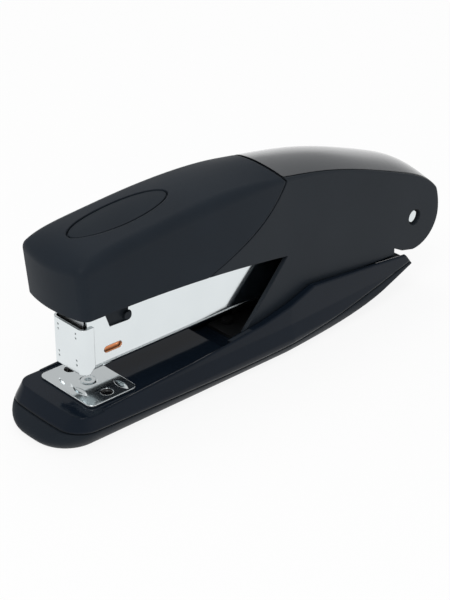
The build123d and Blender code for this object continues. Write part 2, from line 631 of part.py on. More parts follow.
with BuildPart() as anvil_stem:
    with Locations((ANVIL_X, 0, STEM_LOW)):
        Cylinder(STEM_D / 2, ANVIL_TOP - STEM_LOW, align=STANDING)
    with Locations((ANVIL_X, 0, ANVIL_TOP)):
        Cylinder(STEM_HEAD_D / 2, STEM_HEAD_T, align=STANDING)
    with Locations((ANVIL_X, 0, ANVIL_TOP + STEM_HEAD_T)):
        Hole(STEM_BORE_D / 2, depth=STEM_BORE_DEPTH)
anvil_stem.part.label = "anvil_stem"
export_step(anvil_stem.part, "parts/anvil_stem.step")

with BuildPart() as anvil_button:
    with Locations((ANVIL_X, 0, BUTTON_LOW)):
        Cylinder(BUTTON_D / 2, BUTTON_TOP - BUTTON_LOW, align=STANDING)
    chamfer(anvil_button.faces().sort_by(Axis.Z)[0].edges(), BUTTON_CHAMFER)
    with Locations((ANVIL_X, 0, BUTTON_TOP)):
        Hole(STEM_D / 2, depth=BUTTON_TOP - STEM_LOW)
anvil_button.part.label = "anvil_button"
export_step(anvil_button.part, "parts/anvil_button.step")

anvil_spring_l = DECK_Z - DECK_T - BUTTON_TOP
anvil_coil, gap = wind_spring(ANVIL_SPRING_D, ANVIL_SPRING_WIRE, anvil_spring_l, ANVIL_SPRING_TURNS)
print("anvil_spring least gap", round(gap, 2))
with BuildPart() as anvil_spring:
    with Locations((ANVIL_X, 0, BUTTON_TOP)):
        add(anvil_coil)
anvil_spring.part.label = "anvil_spring"
export_step(anvil_spring.part, "parts/anvil_spring.step")

# Magazine

with BuildPart() as magazine_channel:
    with BuildSketch(Plane.XZ):
        with BuildLine():
            Polyline(
                (MAG_FRONT, MAG_LOW),
                (MAG_LOW_REAR, MAG_LOW),
                (PIVOT_X, PIVOT_Z - MAG_EYE_R),
                (PIVOT_X, PIVOT_Z + MAG_EYE_R),
                (MAG_TOP_REAR, MAG_TOP),
                (MAG_FRONT, MAG_TOP),
                close=True,
            )
        make_face()
        with Locations((PIVOT_X, PIVOT_Z)):
            Circle(MAG_EYE_R)
    extrude(amount=MAG_HALF, both=True)
    fillet(magazine_channel.faces().sort_by(Axis.Z)[0].edges().filter_by(Axis.X), MAG_BEND_R)
    with BuildSketch(Plane.YZ.offset(MAG_FRONT)):
        with Locations((0, FLOOR_TOP)):
            Rectangle(2 * MAG_IN, CLEAR, align=ABOVE)
    extrude(amount=PIVOT_X + MAG_EYE_R - MAG_FRONT, mode=Mode.SUBTRACT)
    with BuildSketch(Plane.XY):
        with Locations((MAG_FRONT, 0)):
            Rectangle(2 * (FLOOR_FRONT - MAG_FRONT), 2 * MAG_IN)
        with Locations((PIVOT_X, 0)):
            Rectangle(2 * (PIVOT_X - MAG_LOW_REAR), 2 * MAG_IN)
        with Locations(*RAIL_RIVETS):
            Circle(RAIL_RIVET_D / 2)
    extrude(amount=CLEAR, mode=Mode.SUBTRACT)
    with BuildSketch(Plane.XZ):
        with BuildLine():
            Polyline(*NOTCH, close=True)
        make_face()
        with Locations((BOSS_X, BOSS_Z)):
            Circle(POCKET_R)
        with Locations((WINDOW_X, WINDOW_Z)):
            SlotOverall(WINDOW_L, WINDOW_H)
        with Locations((PIVOT_X, PIVOT_Z)):
            Circle(PIN_D / 2 + RUN_GAP)
    extrude(amount=CLEAR, both=True, mode=Mode.SUBTRACT)
    line_x = (MAG_FRONT + MAG_LOW_REAR) / 2
    with Locations((line_x, -MAG_HALF, MAG_LINE_Z), (line_x, MAG_HALF, MAG_LINE_Z)):
        Box(MAG_LOW_REAR - MAG_FRONT, 2 * MAG_LINE_DEPTH, MAG_LINE_H, mode=Mode.SUBTRACT)
magazine_channel.part.label = "magazine_channel"
export_step(magazine_channel.part, "parts/magazine_channel.step")

with BuildPart() as nose_plate:
    with BuildSketch(Plane.XY.offset(NOSE_LOW)) as plan:
        with Locations((NOSE_FACE, 0)):
            Rectangle(NOSE_BACK - NOSE_FACE, NOSE_W, align=(Align.MIN, Align.CENTER))
        fillet(plan.vertices().group_by(Axis.X)[0], radius=NOSE_R)
    extrude(amount=NOSE_TOP - NOSE_LOW)
    with BuildSketch(Plane.XY.offset(NOSE_LOW)) as inside:
        with Locations((NOSE_FACE + SHEET, 0)):
            Rectangle(CLEAR, MAG_W, align=(Align.MIN, Align.CENTER))
        fillet(inside.vertices().group_by(Axis.X)[0], radius=NOSE_R - SHEET)
    extrude(amount=NOSE_TOP - NOSE_LOW, mode=Mode.SUBTRACT)
    with BuildSketch(Plane.XZ):
        with BuildLine():
            Polyline(
                (NOSE_BACK, NOSE_LOW),
                (NOSE_BACK, NOSE_LOW + NOSE_CUT),
                (NOSE_BACK - NOSE_CUT, NOSE_LOW),
                close=True,
            )
        make_face()
    extrude(amount=NOSE_W, both=True, mode=Mode.SUBTRACT)
    with BuildSketch(Plane.YZ.offset(NOSE_FACE)):
        for z in DIMPLE_ZS:
            with Locations((0, z)):
                with GridLocations(2 * DIMPLE_Y, DIMPLE_PITCH, 2, 2):
                    Circle(DIMPLE_D / 2)
    extrude(amount=DIMPLE_DEPTH, mode=Mode.SUBTRACT)
nose_plate.part.label = "nose_plate"
export_step(nose_plate.part, "parts/nose_plate.step")

with BuildPart() as staple_rail:
    with BuildSketch(Plane.YZ.offset(FLOOR_FRONT)):
        with Locations((0, FLOOR_TOP)):
            Rectangle(2 * RAIL_HALF_W, RAIL_TOP - FLOOR_TOP, align=ABOVE)
            Rectangle(2 * STOP_HALF_W, STOP_TOP - FLOOR_TOP, align=ABOVE, mode=Mode.SUBTRACT)
    extrude(amount=RAIL_REAR - FLOOR_FRONT)
    with BuildSketch(Plane.XY.offset(RAIL_TOP)):
        with Locations(((SLOT_FRONT + SLOT_REAR) / 2, 0)):
            SlotOverall(SLOT_REAR - SLOT_FRONT, 2 * SLOT_HALF_W)
    extrude(amount=-2 * RAIL_T, mode=Mode.SUBTRACT)
staple_rail.part.label = "staple_rail"
export_step(staple_rail.part, "parts/staple_rail.step")

with BuildPart() as staple_strip:
    with BuildSketch(Plane.YZ.offset(STRIP_FRONT)):
        with Locations((0, RAIL_TOP + STAPLE_WIRE)):
            Rectangle(STAPLE_W, RAIL_TOP + STAPLE_WIRE - STAPLE_LOW, align=BELOW)
        with Locations((0, RAIL_TOP)):
            Rectangle(STAPLE_W - 2 * STAPLE_WIRE, CLEAR, align=BELOW, mode=Mode.SUBTRACT)
    extrude(amount=STRIP_L)
staple_strip.part.label = "staple_strip"
export_step(staple_strip.part, "parts/staple_strip.step")

with BuildPart() as guide_rod:
    with BuildSketch(Plane.YZ.offset(ROD_FRONT)):
        with Locations((0, ROD_Z)):
            Circle(ROD_D / 2)
    extrude(amount=ROD_REAR - ROD_FRONT)
guide_rod.part.label = "guide_rod"
export_step(guide_rod.part, "parts/guide_rod.step")

with BuildPart() as rod_stops:
    for low_x, high_x in STOP_SPANS:
        with BuildSketch(Plane.YZ.offset(low_x)):
            with Locations((0, FLOOR_TOP)):
                Rectangle(2 * STOP_HALF_W, STOP_TOP - FLOOR_TOP, align=ABOVE)
            with Locations((0, ROD_Z)):
                Circle(ROD_D / 2, mode=Mode.SUBTRACT)
        extrude(amount=high_x - low_x)
    with BuildSketch(Plane.XY.offset(FLOOR_TOP)):
        with Locations(*RAIL_RIVETS):
            Circle(RAIL_RIVET_D / 2)
    extrude(amount=RAIL_RIVET_TOP - FLOOR_TOP, mode=Mode.SUBTRACT)
rod_stops.part.label = "rod_stops"
export_step(rod_stops.part, "parts/rod_stops.step")

with BuildPart() as rail_rivets:
    with BuildSketch(Plane.XY.offset(MAG_LOW)):
        with Locations(*RAIL_RIVETS):
            Circle(RAIL_RIVET_D / 2)
    extrude(amount=RAIL_RIVET_TOP - MAG_LOW)
rail_rivets.part.label = "rail_rivets"
export_step(rail_rivets.part, "parts/rail_rivets.step")

with BuildPart() as pusher:
    with BuildSketch(Plane.YZ.offset(PUSHER_FRONT)):
        with Locations((0, PUSHER_TOP)):
            Rectangle(2 * PUSHER_HALF_W, PUSHER_TOP - PUSHER_LEG_LOW, align=BELOW)
        with Locations((0, RAIL_TOP + PUSHER_FIT)):
            Rectangle(2 * (RAIL_HALF_W + PUSHER_FIT), CLEAR, align=BELOW, mode=Mode.SUBTRACT)
    extrude(amount=PUSHER_L)
    with BuildSketch(Plane.YZ.offset(PUSHER_FRONT)):
        with Locations((0, ROD_Z)):
            Rectangle(2 * PUSHER_FOOT_HALF_W, PUSHER_FOOT_H)
            Rectangle(2 * (SLOT_HALF_W - PUSHER_FIT), RAIL_TOP + RAIL_T - ROD_Z, align=ABOVE)
            Circle(ROD_D / 2 + 2 * RUN_GAP, mode=Mode.SUBTRACT)
    extrude(amount=PUSHER_FOOT_L)
    with Locations((PUSHER_FRONT + PUSHER_L - PUSHER_TAB_L / 2, 0, PUSHER_TOP)):
        Box(PUSHER_TAB_L, 2 * PUSHER_TAB_HALF_W, PUSHER_TAB_TOP - PUSHER_TOP, align=STANDING)
pusher.part.label = "pusher"
export_step(pusher.part, "parts/pusher.step")

pusher_spring_l = STOP_SPANS[1][0] - FOOT_REAR
pusher_coil, gap = wind_spring(PUSHER_SPRING_D, PUSHER_SPRING_WIRE, pusher_spring_l, PUSHER_SPRING_TURNS)
print("pusher_spring least gap", round(gap, 2))
with BuildPart() as pusher_spring:
    with Locations(Location((FOOT_REAR, 0, ROD_Z), (0, 90, 0))):
        add(pusher_coil)
pusher_spring.part.label = "pusher_spring"
export_step(pusher_spring.part, "parts/pusher_spring.step")

with BuildPart() as nose_block:
    with Locations(((BLOCK_FRONT + BLOCK_REAR) / 2, 0, BLOCK_LOW)):
        Box(BLOCK_REAR - BLOCK_FRONT, 2 * MAG_IN, BLOCK_TOP - BLOCK_LOW, align=STANDING)
    with BuildSketch(Plane.XZ):
        with Locations((BOSS_X, BOSS_Z)):
            Circle(BOSS_R)
    extrude(amount=BOSS_HALF_L, both=True)
    with Locations((SEAT_X, 0, BLOCK_TOP)):
        Hole(SEAT_D / 2, depth=BLOCK_TOP - SEAT_Z)
nose_block.part.label = "nose_block"
export_step(nose_block.part, "parts/nose_block.step")

handle_spring_l = ROOF_LOW - SEAT_Z
handle_coil, gap = wind_spring(HANDLE_SPRING_D, HANDLE_SPRING_WIRE, handle_spring_l, HANDLE_SPRING_TURNS)
print("handle_spring least gap", round(gap, 2))
with BuildPart() as handle_spring:
    with Locations((SEAT_X, 0, SEAT_Z)):
        add(handle_coil)
handle_spring.part.label = "handle_spring"
export_step(handle_spring.part, "parts/handle_spring.step")

# Handle

with BuildPart() as handle_frame:
    with BuildSketch(Plane.XZ):
        with BuildLine():
            Polyline(
                *FRAME_ROOF,
                (FRAME_REAR, PIVOT_Z),
                (PIVOT_X, PIVOT_Z),
                (PIVOT_X, PIVOT_Z - FRAME_EYE_R),
                *FRAME_LOW,
                close=True,
            )
        make_face()
        with Locations((PIVOT_X, PIVOT_Z)):
            Circle(FRAME_EYE_R)
            Circle(PIN_D / 2 + RUN_GAP, mode=Mode.SUBTRACT)
    extrude(amount=FRAME_OUT, both=True)
    with BuildSketch(Plane.XZ):
        with BuildLine():
            Polyline(
                *[(x, z - ROOF_T) for x, z in FRAME_ROOF],
                (PIVOT_X + CLEAR, FRAME_REAR_Z - ROOF_T),
                (PIVOT_X + CLEAR, 0),
                (FRAME_FRONT, 0),
                close=True,
            )
        make_face()
    extrude(amount=FRAME_IN, both=True, mode=Mode.SUBTRACT)
    with BuildSketch(Plane.XY.offset(FRAME_TOP)):
        with Locations(*BLADE_RIVETS):
            Circle(BLADE_RIVET_D / 2)
        with Locations(*COVER_SCREWS):
            Circle(SCREW_D / 2)
    extrude(amount=-2 * ROOF_T, mode=Mode.SUBTRACT)
handle_frame.part.label = "handle_frame"
export_step(handle_frame.part, "parts/handle_frame.step")

with BuildPart() as driver_blade:
    with BuildSketch(Plane.XZ):
        with BuildLine():
            Polyline(
                (FRAME_FRONT, BLADE_LOW),
                (FRAME_FRONT + BLADE_T, BLADE_LOW),
                (FRAME_FRONT + BLADE_T, ROOF_LOW - BLADE_T),
                (BLADE_TAB_REAR, ROOF_LOW - BLADE_T),
                (BLADE_TAB_REAR, ROOF_LOW),
                (FRAME_FRONT, ROOF_LOW),
                close=True,
            )
        make_face()
    extrude(amount=BLADE_HALF_W, both=True)
    with BuildSketch(Plane.XY.offset(ROOF_LOW)):
        with Locations(*BLADE_RIVETS):
            Circle(BLADE_RIVET_D / 2)
    extrude(amount=-2 * BLADE_T, mode=Mode.SUBTRACT)
driver_blade.part.label = "driver_blade"
export_step(driver_blade.part, "parts/driver_blade.step")

with BuildPart() as driver_rivets:
    with BuildSketch(Plane.XY.offset(ROOF_LOW - BLADE_T)):
        with Locations(*BLADE_RIVETS):
            Circle(BLADE_RIVET_D / 2 - RUN_GAP)
    extrude(amount=BLADE_T + ROOF_T)
    with BuildSketch(Plane.XY.offset(FRAME_TOP)):
        with Locations(*BLADE_RIVETS):
            Circle(BLADE_RIVET_HEAD_D / 2)
    extrude(amount=BLADE_RIVET_HEAD_T)
driver_rivets.part.label = "driver_rivets"
export_step(driver_rivets.part, "parts/driver_rivets.step")

with BuildPart() as cover_screws:
    with BuildSketch(Plane.XY.offset(ROOF_LOW)):
        with Locations(*COVER_SCREWS):
            Circle(SCREW_D / 2 - RUN_GAP)
    extrude(amount=COVER_SCREW_TOP - ROOF_LOW)
    with BuildSketch(Plane.XY.offset(ROOF_LOW)):
        with Locations(*COVER_SCREWS):
            Circle(SCREW_HEAD_D / 2)
    extrude(amount=-SCREW_HEAD_T)
cover_screws.part.label = "cover_screws"
export_step(cover_screws.part, "parts/cover_screws.step")

with BuildPart() as stays:
    for x, top in RIBS:
        with Locations((x, 0, FRAME_TOP)):
            Box(RIB_T, 2 * RIB_HALF_W, top - FRAME_TOP, align=STANDING)
    for x, top in COVER_BOSSES:
        with Locations((x, 0, FRAME_TOP)):
            Cylinder(COVER_BOSS_D / 2, top - FRAME_TOP, align=STANDING)
    with BuildSketch(Plane.XY.offset(FRAME_TOP)):
        with Locations(*COVER_SCREWS):
            Circle(SCREW_D / 2)
    extrude(amount=COVER_SCREW_TOP - FRAME_TOP, mode=Mode.SUBTRACT)

with BuildPart() as front_grip:
    add(cover_outside)
    add(cover_hollow, mode=Mode.SUBTRACT)
    add(stays.part)
    add(rear_side.moved(Location((-GRIP_SEAM_GAP, 0, 0))), mode=Mode.SUBTRACT)
    add(badge_recess, mode=Mode.SUBTRACT)
front_grip.part.label = "front_grip"
export_step(front_grip.part, "parts/front_grip.step")

with BuildPart() as badge_inlay:
    add(lowered(cover_outside, BADGE_SINK))
    add(badge_column(BADGE_GAP), mode=Mode.INTERSECT)
    add(lowered(cover_outside, BADGE_DEPTH), mode=Mode.SUBTRACT)
badge_inlay.part.label = "badge_inlay"
export_step(badge_inlay.part, "parts/badge_inlay.step")

with BuildPart() as rear_cover:
    add(cover_outside)
    add(cover_hollow, mode=Mode.SUBTRACT)
    add(stays.part)
    add(rear_side, mode=Mode.INTERSECT)
    add(panel_recess, mode=Mode.SUBTRACT)
    with BuildSketch(Plane.XZ):
        with Locations((PIVOT_X, PIVOT_Z)):
            Circle(PIN_HOLE_D / 2)
    extrude(amount=CLEAR, both=True, mode=Mode.SUBTRACT)
    with BuildSketch(Plane.XY):
        with Locations((PIVOT_X, 0)):
            Rectangle(CLEAR, 2 * FRAME_OUT, align=(Align.MIN, Align.CENTER))
    extrude(amount=BACK_OPEN_Z, mode=Mode.SUBTRACT)
rear_cover.part.label = "rear_cover"
export_step(rear_cover.part, "parts/rear_cover.step")

with BuildPart() as rear_top_panel:
    add(cover_outside)
    add(panel_column(PANEL_GAP), mode=Mode.INTERSECT)
    add(rear_side.moved(Location((PANEL_GAP, 0, 0))), mode=Mode.INTERSECT)
    add(lowered(cover_outside, PANEL_DEPTH), mode=Mode.SUBTRACT)
rear_top_panel.part.label = "rear_top_panel"
export_step(rear_top_panel.part, "parts/rear_top_panel.step")
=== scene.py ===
# %% [markdown]
# # A desk stapler, dressed for a studio picture
# The solids of the stapler come from CAD, already in place and in metres. This lesson puts a camera, a
# floor and lamps round them, remakes the small pieces whose form is finer than the solids show, and gives
# every piece a finish built from nodes: soft-touch coat, satin, polished and gloss mouldings, rubber, bright
# plating, zinc-plated and blackened steel, and copper wire.

# %% Load the frame
import json
import math

import bpy
import numpy as np
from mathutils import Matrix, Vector


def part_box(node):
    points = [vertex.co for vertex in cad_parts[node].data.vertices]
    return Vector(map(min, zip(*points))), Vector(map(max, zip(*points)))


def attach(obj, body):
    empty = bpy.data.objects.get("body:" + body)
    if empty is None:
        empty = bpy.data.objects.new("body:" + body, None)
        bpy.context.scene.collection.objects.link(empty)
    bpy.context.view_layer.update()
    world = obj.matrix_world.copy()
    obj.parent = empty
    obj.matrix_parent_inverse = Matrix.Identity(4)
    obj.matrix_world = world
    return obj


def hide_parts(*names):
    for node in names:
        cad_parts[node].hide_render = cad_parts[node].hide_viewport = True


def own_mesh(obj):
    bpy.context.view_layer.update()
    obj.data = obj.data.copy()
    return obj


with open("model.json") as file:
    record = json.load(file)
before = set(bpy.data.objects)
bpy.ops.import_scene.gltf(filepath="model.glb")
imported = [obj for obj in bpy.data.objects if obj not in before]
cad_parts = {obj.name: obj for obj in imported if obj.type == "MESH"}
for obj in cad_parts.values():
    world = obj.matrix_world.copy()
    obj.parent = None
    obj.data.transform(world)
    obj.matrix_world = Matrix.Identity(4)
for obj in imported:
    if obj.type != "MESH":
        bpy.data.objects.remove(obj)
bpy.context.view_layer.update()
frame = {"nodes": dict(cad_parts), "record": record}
nodes = frame["nodes"]
MM = 0.001

# %% [markdown]
# ## The camera
# The picture was taken from the front, to the left of the stapler and well above it, with a long lens. A
# camera looks along its own -Z with +Y up, so a direction is turned into a rotation with `to_track_quat`.
# The sensor's 36 mm lies along the longer side of the frame.

# %% Camera
CAMERA_PLACE = (-0.3565, -0.3885, 0.3018)
CAMERA_BEARING, CAMERA_DIP = math.radians(42.23), math.radians(28.18)
LENS_MM, SENSOR_MM = 102.0, 36.0
CLIP_NEAR, CLIP_FAR = 0.01, 50.0

camera = bpy.data.objects.new("camera", bpy.data.cameras.new("camera"))
bpy.context.scene.collection.objects.link(camera)
camera.data.lens = LENS_MM
camera.data.sensor_width = SENSOR_MM
camera.data.clip_start, camera.data.clip_end = CLIP_NEAR, CLIP_FAR
camera.location = CAMERA_PLACE
forward = Vector((
    math.sin(CAMERA_BEARING) * math.cos(CAMERA_DIP),
    math.cos(CAMERA_BEARING) * math.cos(CAMERA_DIP),
    -math.sin(CAMERA_DIP),
))
camera.rotation_mode = "QUATERNION"
camera.rotation_quaternion = forward.to_track_quat("-Z", "Y")
bpy.context.scene.camera = camera
bpy.context.scene.view_settings.view_transform = "Standard"
print("camera looks along", [round(v, 3) for v in forward])

# %% [markdown]
# ## Shader maths as Python
# A finish is a small graph of nodes. Wiring Math nodes by hand hides the formula, so a tiny class wraps an
# output socket and overloads the operators: `1 - mask` then adds a Subtract node. Anything that isn't plain
# arithmetic comes from `Graph.node`, which sets a node's settings first and then fills or links its inputs.

# %% Socket arithmetic and the finish builder
BEVEL_SAMPLES = 6


class Amount:
    """A number that varies: one output socket, with arithmetic that adds Math nodes to its graph."""

    def __init__(self, graph, socket):
        self.graph = graph
        self.socket = socket

    def combine(self, operation, first, second=0.0):
        made = self.graph.node("ShaderNodeMath", {"operation": operation}, {0: first, 1: second})
        return Amount(self.graph, made.outputs[0])

    def __add__(self, other):
        return self.combine("ADD", self, other)

    def __sub__(self, other):
        return self.combine("SUBTRACT", self, other)

    def __rsub__(self, other):
        return self.combine("SUBTRACT", other, self)

    def __mul__(self, other):
        return self.combine("MULTIPLY", self, other)

    def __abs__(self):
        return self.combine("ABSOLUTE", self)

    def __lt__(self, limit):
        return self.combine("LESS_THAN", self, limit)

    __radd__ = __add__
    __rmul__ = __mul__


class Graph:
    """A node tree, with methods that add any node, fill or link its inputs, and take a vector apart."""

    def __init__(self, tree):
        self.tree = tree

    def node(self, kind, settings, inputs):
        made = self.tree.nodes.new(kind)
        for setting, value in settings.items():
            setattr(made, setting, value)
        self.fill(made, inputs)
        return made

    def fill(self, made, inputs):
        for socket, value in inputs.items():
            if isinstance(value, Amount):
                self.tree.links.new(value.socket, made.inputs[socket])
            elif isinstance(value, bpy.types.NodeSocket):
                self.tree.links.new(value, made.inputs[socket])
            else:
                made.inputs[socket].default_value = value

    def axes(self, vector):
        """The three parts of a vector."""
        return [Amount(self, part) for part in self.node("ShaderNodeSeparateXYZ", {}, {0: vector}).outputs]


def shade(grey, cool=1.0):
    """A colour from one grey, cooler as its blue is made stronger and its red weaker by one factor."""
    return (grey / cool, grey, grey * cool, 1.0)


class Finish(Graph):
    """One material: a Principled shader whose inputs are numbers, colours or parts of a node graph."""

    def __init__(self, name):
        self.material = bpy.data.materials.new(name)
        self.material.use_nodes = True
        super().__init__(self.material.node_tree)
        self.shader = self.tree.nodes["Principled BSDF"]
        self.place = self.node("ShaderNodeTexCoord", {}, {}).outputs["Object"]

    def stretched(self, scale):
        """Object coordinates, with each axis multiplied, so a grain can run along one axis."""
        inputs = {"Vector": self.place, "Scale": scale}
        return self.node("ShaderNodeMapping", {"vector_type": "POINT"}, inputs).outputs[0]

    def grain(self, lumps, detail=2.0, place=None):
        """Soft noise from 0 to 1, with the given number of lumps in a metre."""
        vector = self.place if place is None else place
        made = self.node("ShaderNodeTexNoise", {}, {"Vector": vector, "Scale": lumps, "Detail": detail})
        return Amount(self, made.outputs[0])

    def mix(self, mask, first, second):
        """A colour between two colours."""
        made = self.node("ShaderNodeMix", {"data_type": "RGBA"}, {0: mask, 6: first, 7: second})
        return made.outputs[2]

    def greys(self, mask, dark, light, cool=1.0):
        """A colour between two greys, both cooled by one factor."""
        return self.mix(mask, shade(dark, cool), shade(light, cool))

    def relief(self, height, depth, edge):
        """A normal that follows a height from 0 to a depth, over edges of a small radius, both in metres."""
        rounded = self.node("ShaderNodeBevel", {"samples": BEVEL_SAMPLES}, {"Radius": edge}).outputs[0]
        made = self.node("ShaderNodeBump", {}, {"Height": height, "Distance": depth, "Normal": rounded})
        return made.outputs[0]

    def paint(self, **inputs):
        """Sets the shader's inputs, written with underscores for spaces, and gives back the material."""
        self.fill(self.shader, {socket.replace("_", " "): value for socket, value in inputs.items()})
        return self.material


# %% [markdown]
# ## Soft-touch coat
# The front half of the handle has a rubbery coat. It is the dullest surface on the stapler: a blue-black
# with a broad, weak sheen and a fine pebble that only breaks the highlight. Two noises do it, a coarse one
# that shifts the grey a little where hands have been, and a fine one for the pebble.


# %% Soft-touch coat
def soft_touch_coat():
    finish = Finish("soft_touch_coat")
    cloud, pebble = finish.grain(lumps=60.0), finish.grain(lumps=5200.0)
    return finish.paint(
        Base_Color=finish.greys(cloud, dark=0.015, light=0.021, cool=1.38),
        Roughness=0.46 + 0.1 * cloud,
        Normal=finish.relief(pebble, depth=0.015 * MM, edge=0.9 * MM),
        Specular_IOR_Level=0.09,
    )


# %% [markdown]
# ## Satin, polished and gloss mouldings
# The rear half is a satin moulding, smoother than the grip, and the badge is the same with less sheen. The
# top panel is that plastic under a clear coat, so that it picks up a long soft reflection at a low angle.
# The base is moulded in a polished tool and shows its surroundings clearly, with the slight ripple that all
# polished mouldings have. All are dark plastic, so most of what is seen is reflection, and roughness matters
# more than colour.


# %% Satin, polished and gloss mouldings
def satin_moulding(name="satin_moulding", specular=0.11):
    finish = Finish(name)
    cloud, spark = finish.grain(lumps=45.0), finish.grain(lumps=7000.0)
    return finish.paint(
        Base_Color=finish.greys(cloud, dark=0.0175, light=0.0235, cool=1.3),
        Roughness=0.32 + 0.08 * cloud,
        Normal=finish.relief(spark, depth=0.006 * MM, edge=0.5 * MM),
        Specular_IOR_Level=specular,
    )


def polished_panel():
    finish = Finish("polished_panel")
    cloud, ripple = finish.grain(lumps=45.0), finish.grain(lumps=140.0, detail=1.0)
    return finish.paint(
        Base_Color=finish.greys(cloud, dark=0.0165, light=0.0215, cool=1.3),
        Roughness=0.2 + 0.06 * cloud,
        Normal=finish.relief(ripple, depth=0.008 * MM, edge=0.4 * MM),
        Specular_IOR_Level=0.6,
        Coat_Weight=1.0,
        Coat_Roughness=0.14,
    )


def gloss_moulding():
    finish = Finish("gloss_moulding")
    ripple, smear = finish.grain(lumps=160.0, detail=1.0), finish.grain(lumps=35.0, detail=4.0)
    return finish.paint(
        Base_Color=finish.greys(smear, dark=0.0085, light=0.012, cool=1.7),
        Roughness=0.05 + 0.08 * smear,
        Normal=finish.relief(ripple, depth=0.012 * MM, edge=0.8 * MM),
        Specular_IOR_Level=0.12,
    )


# %% [markdown]
# ## Rubber sole
# The sole is a dense black rubber: a little lighter than the base because its skin scatters light, and dull,
# with a faint grain from the mould.


# %% Rubber sole
def sole_rubber():
    finish = Finish("sole_rubber")
    cloud, skin_grain = finish.grain(lumps=70.0), finish.grain(lumps=3600.0)
    return finish.paint(
        Base_Color=finish.greys(cloud, dark=0.014, light=0.019, cool=1.36),
        Roughness=0.42 + 0.12 * cloud,
        Normal=finish.relief(skin_grain, depth=0.02 * MM, edge=1.2 * MM),
        Specular_IOR_Level=0.09,
    )


# %% [markdown]
# ## Bright plating, zinc, blackened steel and copper
# The magazine, its nose and the anvil are plated steel. A mirror alone looks computer-made, so the plating
# has hairlines along the sheet: noise squeezed across the stapler and stretched along it, which moves the
# roughness a little. Hidden steel is duller: zinc-plated, with the cloudy grain of the plating, or blackened.
# The staples are copper-coloured wire. Small holes and punch marks in the plating get painted shade: a
# near-black colour with no metal on their floors.

# %% Bright plating, zinc, blackened steel and copper
HAIRLINE_LUMPS = (40.0, 5200.0, 5200.0)
PLATING_DARK, PLATING_LIGHT = (0.70, 0.745, 0.76, 1.0), (0.77, 0.815, 0.83, 1.0)
COPPER_DARK, COPPER_LIGHT = (0.86, 0.30, 0.12, 1.0), (0.96, 0.42, 0.20, 1.0)
# The painted shade for the floors of holes in the plating
PAINTED_HOLE_SHADE = 0.004


def hairlines(finish):
    """Noise whose lumps are far longer along the stapler than across it."""
    return finish.grain(lumps=1.0, detail=3.0, place=finish.stretched(HAIRLINE_LUMPS))


def bright_plating(name="bright_plating", painted_shade_mask=None):
    """Plated steel. Where a mask is given, painted shade goes there: a near-black colour with no metal,
    standing in for the shade on the floor of a hole.
    """
    finish = Finish(name)
    hairline, cloud = hairlines(finish), finish.grain(lumps=55.0)
    colour = finish.mix(cloud, PLATING_DARK, PLATING_LIGHT)
    metal, rough = 1.0, 0.07 + 0.06 * hairline
    # Painted shade: inside the mask the colour turns near-black and the metal is removed, for the shade in a
    # hole
    if painted_shade_mask:
        painted_shade = painted_shade_mask(finish)
        colour = finish.mix(painted_shade, colour, shade(PAINTED_HOLE_SHADE))
        metal = 1.0 - painted_shade
    return finish.paint(
        Base_Color=colour,
        Metallic=metal,
        Roughness=rough,
        Normal=finish.relief(hairline, depth=0.0008 * MM, edge=0.25 * MM),
    )


def zinc_sheet():
    finish = Finish("zinc_sheet")
    cloud, hairline = finish.grain(lumps=220.0, detail=5.0), hairlines(finish)
    return finish.paint(
        Base_Color=finish.mix(cloud, shade(0.42, cool=1.02), shade(0.58, cool=1.03)),
        Metallic=1.0,
        Roughness=0.26 + 0.14 * cloud,
        Normal=finish.relief(hairline, depth=0.002 * MM, edge=0.2 * MM),
    )


def blackened_steel():
    finish = Finish("blackened_steel")
    cloud = finish.grain(lumps=300.0, detail=4.0)
    return finish.paint(
        Base_Color=finish.greys(cloud, dark=0.008, light=0.016, cool=1.1),
        Roughness=0.4 + 0.15 * cloud,
        Normal=finish.relief(cloud, depth=0.004 * MM, edge=0.2 * MM),
        Specular_IOR_Level=0.25,
    )


def copper_wire():
    finish = Finish("copper_wire")
    cloud = finish.grain(lumps=900.0, detail=3.0)
    return finish.paint(
        Base_Color=finish.mix(cloud, COPPER_DARK, COPPER_LIGHT),
        Metallic=0.75 + 0.1 * cloud,
        Roughness=0.34 + 0.14 * cloud,
        Normal=finish.relief(cloud, depth=0.002 * MM, edge=0.05 * MM),
    )


# %% [markdown]
# ## Dressing the CAD pieces
# Each CAD piece names a material slot in the record, so a dictionary from slot to finish dresses all of them.
# The top panel and the badge then get a finish of their own. The mesh itself isn't touched: only the material
# in its slot changes.

# %% Dress the CAD pieces
finishes = {
    "gloss_black": gloss_moulding(),
    "satin_black": satin_moulding(),
    "soft_black": soft_touch_coat(),
    "sole_rubber": sole_rubber(),
    "bright_chrome": bright_plating(),
    "steel": zinc_sheet(),
    "black_steel": blackened_steel(),
    "copper_wire": copper_wire(),
}
for subpart in frame["record"]["subparts"]:
    nodes[subpart["node"]].material_slots[0].material = finishes[subpart["material_slot"]]
nodes["rear_top_panel"].material_slots[0].material = polished_panel()
nodes["badge_inlay"].material_slots[0].material = satin_moulding("badge_satin", specular=0.04)
print("finishes", sorted(finishes))

# %% [markdown]
# ## A skin over rings
# The new pieces are closed skins over rows of rings. A ring is a closed loop of points, and neighbouring
# rings are joined with four-sided faces. The last ring either joins the first, as in a tyre, or both ends get
# a cap. The enclosed volume, taken from the faces, shows whether the faces point outwards.


# %% Skins over rings
def ring_faces(count, size, joined):
    """Four-sided faces between neighbours on a grid of rings, from index arithmetic on whole arrays."""
    ring, step = np.meshgrid(np.arange(count if joined else count - 1), np.arange(size), indexing="ij")
    beyond, after = (ring + 1) % count, (step + 1) % size
    corners = [ring * size + step, ring * size + after, beyond * size + after, beyond * size + step]
    return np.stack(corners, axis=-1).reshape(-1, 4)


